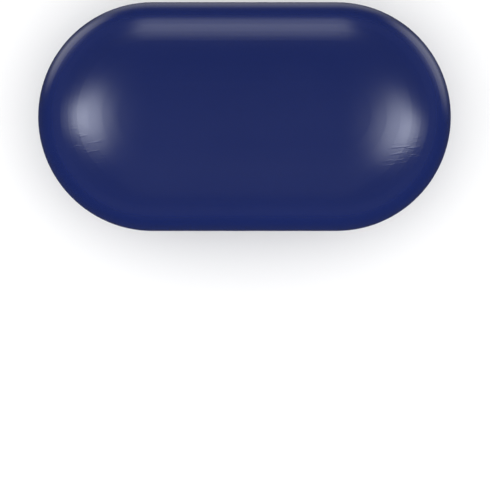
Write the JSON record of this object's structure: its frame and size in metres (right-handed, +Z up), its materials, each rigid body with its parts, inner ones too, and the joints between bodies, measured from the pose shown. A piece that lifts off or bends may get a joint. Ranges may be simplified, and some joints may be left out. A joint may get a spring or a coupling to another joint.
{
  "type": "wireless earbuds case",
  "caption": "Pill-shaped pocket charging case with a hinged lid, two earbud wells with sprung charging contacts, a rear charging port and a wireless charging coil.",
  "frame": {"origin": "on the table plane, under the middle of the closed case", "axes": "+X along the case, +Y to the hinge and charging port at the rear, +Z up through the lid"},
  "size_m": [0.07, 0.0388, 0.0265],
  "materials": {
    "shell_navy": "satin, fine moulded texture",
    "inner_navy": "matt moulded",
    "hinge_navy": "satin moulded",
    "pin_steel": "ground",
    "spring_steel": "rolled strip",
    "screw_steel": "blackened",
    "socket_steel": "drawn, satin",
    "can_steel": "tinned",
    "magnet_nickel": "nickel plated",
    "contact_gold": "gold plated",
    "barrel_brass": "plated",
    "coil_copper": "enamelled copper wire",
    "flex_amber": "polyimide film",
    "black_plastic": "moulded",
    "chip_black": "moulded packages",
    "board_green": "solder mask",
    "light_clear": "clear moulding",
    "lamp_white": "lamp package",
    "ferrite_grey": "pressed sheet",
    "foam_black": "soft foam",
    "cell_foil": "laminated foil",
    "wire_red": "insulation",
    "wire_black": "insulation"
  },
  "bodies": {
    "base": {"base_shell": "shell_navy", "inner_tray": "inner_navy", "hinge_block": "hinge_navy", "hinge_pin": "pin_steel", "front_light_pipe": "light_clear", "deck_light_pipe": "light_clear", "front_lamp": "lamp_white", "deck_lamp": "lamp_white", "led_board": "board_green", "lid_sensor": "chip_black", "led_flex": "flex_amber", "main_board": "board_green", "board_chips": "chip_black", "shield_can": "can_steel", "usb_shell": "socket_steel", "usb_tongue": "black_plastic", "usb_contacts": "contact_gold", "charging_coil": "coil_copper", "coil_leads": "coil_copper", "ferrite_sheet": "ferrite_grey", "battery_pad": "foam_black", "battery_cell": "cell_foil", "battery_board": "board_green", "battery_lead_red": "wire_red", "battery_lead_black": "wire_black", "battery_plug": "lamp_white", "board_screws": "screw_steel", "hinge_screws": "screw_steel", "detent_spring_left": "spring_steel", "base_magnet_left": "magnet_nickel", "earbud_magnet_left": "magnet_nickel", "contact_flex_left": "flex_amber", "contact_housing_left": "black_plastic", "contact_barrel_left_rear": "barrel_brass", "contact_spring_left_rear": "spring_steel", "contact_barrel_left_front": "barrel_brass", "contact_spring_left_front": "spring_steel", "detent_spring_right": "spring_steel", "base_magnet_right": "magnet_nickel", "earbud_magnet_right": "magnet_nickel", "contact_flex_right": "flex_amber", "contact_housing_right": "black_plastic", "contact_barrel_right_rear": "barrel_brass", "contact_spring_right_rear": "spring_steel", "contact_barrel_right_front": "barrel_brass", "contact_spring_right_front": "spring_steel"},
    "lid": {"lid_shell": "shell_navy", "lid_liner": "inner_navy", "lid_magnet_left": "magnet_nickel", "lid_magnet_right": "magnet_nickel"},
    "plunger_left_rear": {"contact_plunger_left_rear": "contact_gold"},
    "plunger_left_front": {"contact_plunger_left_front": "contact_gold"},
    "plunger_right_rear": {"contact_plunger_right_rear": "contact_gold"},
    "plunger_right_front": {"contact_plunger_right_front": "contact_gold"}
  },
  "joints": [
    {"name": "lid_hinge", "type": "hinge", "parent": "base", "child": "lid", "pos_m": [0, 0.0179, 0.01298], "axis": [-1, 0, 0], "range_deg": [0, 95], "deforming": ["detent_spring_left", "detent_spring_right"]},
    {"name": "contact_left_rear", "type": "slide", "parent": "base", "child": "plunger_left_rear", "axis": [0, 0, 1], "range_m": [-0.0008, 0], "stiffness_N_per_m": 700, "springref_m": 0.0005, "deforming": ["contact_spring_left_rear"]},
    {"name": "contact_left_front", "type": "slide", "parent": "base", "child": "plunger_left_front", "axis": [0, 0, 1], "range_m": [-0.0008, 0], "stiffness_N_per_m": 700, "springref_m": 0.0005, "deforming": ["contact_spring_left_front"]},
    {"name": "contact_right_rear", "type": "slide", "parent": "base", "child": "plunger_right_rear", "axis": [0, 0, 1], "range_m": [-0.0008, 0], "stiffness_N_per_m": 700, "springref_m": 0.0005, "deforming": ["contact_spring_right_rear"]},
    {"name": "contact_right_front", "type": "slide", "parent": "base", "child": "plunger_right_front", "axis": [0, 0, 1], "range_m": [-0.0008, 0], "stiffness_N_per_m": 700, "springref_m": 0.0005, "deforming": ["contact_spring_right_front"]}
  ]
}
